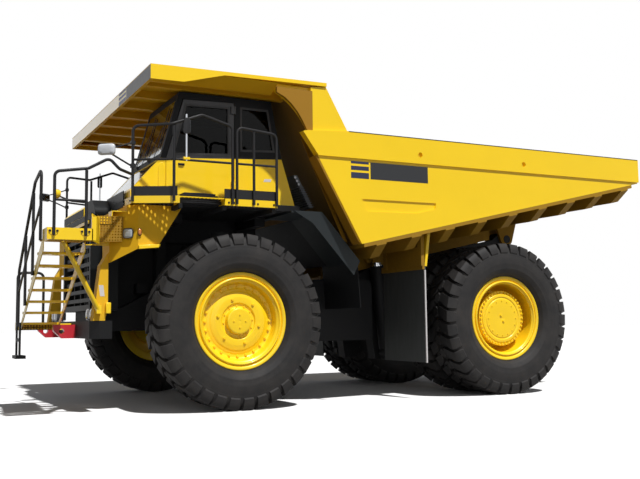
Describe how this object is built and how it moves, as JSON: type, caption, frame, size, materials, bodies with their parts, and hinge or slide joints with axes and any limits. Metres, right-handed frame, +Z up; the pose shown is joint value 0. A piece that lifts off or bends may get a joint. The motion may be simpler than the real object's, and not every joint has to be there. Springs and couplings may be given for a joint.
{
  "type": "rigid mining dump truck",
  "caption": "Rigid-frame mining dump truck with a tipping bed and canopy, a hollow cab with an opening door, steered front wheels, twin rear wheels and telescopic hoists.",
  "frame": {"origin": "on the ground, under the middle of the truck's box", "axes": "+X forward, +Y to the left of the driver, +Z up"},
  "size_m": [10.905, 5.48, 4.992],
  "materials": {
    "yellow_paint": "gloss yellow machine enamel",
    "charcoal": "satin charcoal enamel",
    "black_steel": "matt black chassis paint",
    "grille_grey": "dark blue-grey enamel",
    "red_steel": "gloss red enamel",
    "bed_steel": "worn bare wear plate",
    "tyre_rubber": "moulded off-road tyre rubber",
    "black_rubber": "matt rubber sheet",
    "tread_plate": "perforated galvanised plate",
    "cab_glass": "tinted safety glass",
    "cab_plastic": "textured dark moulding",
    "seat_cloth": "dark woven seat cloth",
    "lamp_glass": "ribbed clear lamp lens",
    "hoist_chrome": "ground hard-chrome rod"
  },
  "bodies": {
    "root": {"main_frame": "black_steel", "front_bumper": "black_steel", "tow_hooks": "red_steel", "powertrain": "black_steel", "suspension": "black_steel", "rear_axle": "black_steel", "side_tanks": "black_steel", "radiator_grille": "grille_grey", "hood": "yellow_paint", "decks": "yellow_paint", "toe_boards": "charcoal", "fenders": "yellow_paint", "fender_braces": "yellow_paint", "front_stairs": "yellow_paint", "stair_treads": "tread_plate", "hanging_step": "black_rubber", "front_rails": "charcoal", "deck_rails": "charcoal", "cab_body": "yellow_paint", "cab_frame": "charcoal", "cab_glass": "cab_glass", "seats": "seat_cloth", "cab_controls": "cab_plastic", "mirrors": "charcoal", "headlamps": "lamp_glass", "mudguards": "grille_grey"},
    "bed": {"bed_floor": "bed_steel", "bed_underframe": "yellow_paint", "bed_runners": "yellow_paint", "mudflaps": "black_rubber", "bed_sides": "yellow_paint", "bed_headboard": "yellow_paint", "bed_canopy": "yellow_paint"},
    "cab_door": {"cab_door": "yellow_paint", "door_glass": "cab_glass"},
    "knuckle_left": {"knuckle_left": "black_steel"},
    "knuckle_right": {"knuckle_right": "black_steel"},
    "wheel_front_left": {"rim_front_left": "yellow_paint", "tyre_front_left": "tyre_rubber"},
    "wheel_front_right": {"rim_front_right": "yellow_paint", "tyre_front_right": "tyre_rubber"},
    "wheels_rear_left": {"rims_rear_left": "yellow_paint", "tyres_rear_left": "tyre_rubber"},
    "wheels_rear_right": {"rims_rear_right": "yellow_paint", "tyres_rear_right": "tyre_rubber"},
    "hoist_barrels": {"hoist_barrels": "black_steel"},
    "hoist_sleeves": {"hoist_sleeves": "hoist_chrome"},
    "hoist_rods": {"hoist_rods": "hoist_chrome"}
  },
  "joints": [
    {"name": "bed_tip", "type": "hinge", "parent": "root", "child": "bed", "pos_m": [-3.8675, 0, 2.89], "axis": [0, -1, 0], "range_deg": [0, 48]},
    {"name": "door_swing", "type": "hinge", "parent": "root", "child": "cab_door", "pos_m": [2.5125, 2.14, 3.9], "axis": [0, 0, 1], "range_deg": [0, 28]},
    {"name": "steer_left", "type": "hinge", "parent": "root", "child": "knuckle_left", "pos_m": [2.5325, 1.56, 1.31], "axis": [0, 0, 1], "range_deg": [-35, 35]},
    {"name": "steer_right", "type": "hinge", "parent": "root", "child": "knuckle_right", "pos_m": [2.5325, -1.56, 1.31], "axis": [0, 0, 1], "range_deg": [-35, 35]},
    {"name": "roll_front_left", "type": "hinge", "parent": "knuckle_left", "child": "wheel_front_left", "pos_m": [2.5325, 2.1625, 1.31], "axis": [0, 1, 0], "continuous": true},
    {"name": "roll_front_right", "type": "hinge", "parent": "knuckle_right", "child": "wheel_front_right", "pos_m": [2.5325, -2.1625, 1.31], "axis": [0, 1, 0], "continuous": true},
    {"name": "roll_rear_left", "type": "hinge", "parent": "root", "child": "wheels_rear_left", "pos_m": [-2.4175, 1.75, 1.31], "axis": [0, 1, 0], "continuous": true},
    {"name": "roll_rear_right", "type": "hinge", "parent": "root", "child": "wheels_rear_right", "pos_m": [-2.4175, -1.75, 1.31], "axis": [0, 1, 0], "continuous": true},
    {"name": "hoist_swing", "type": "hinge", "parent": "root", "child": "hoist_barrels", "pos_m": [-0.9175, 0, 0.7], "axis": [0, -1, 0], "range_deg": [0, 13.46]},
    {"name": "sleeve_slide", "type": "slide", "parent": "hoist_barrels", "child": "hoist_sleeves", "axis": [0.1135, 0, 0.9935], "range_m": [0, 1.2537]},
    {"name": "rod_slide", "type": "slide", "parent": "hoist_sleeves", "child": "hoist_rods", "axis": [0.1135, 0, 0.9935], "range_m": [0, 1.2537]}
  ],
  "couplings": [
    {"joint": "steer_right", "follows": "steer_left", "ratio": 1},
    {"joint": "hoist_swing", "follows": "bed_tip", "ratio": 0.2803},
    {"joint": "sleeve_slide", "follows": "bed_tip", "m_per_rad": 1.4958},
    {"joint": "rod_slide", "follows": "bed_tip", "m_per_rad": 1.4958}
  ]
}
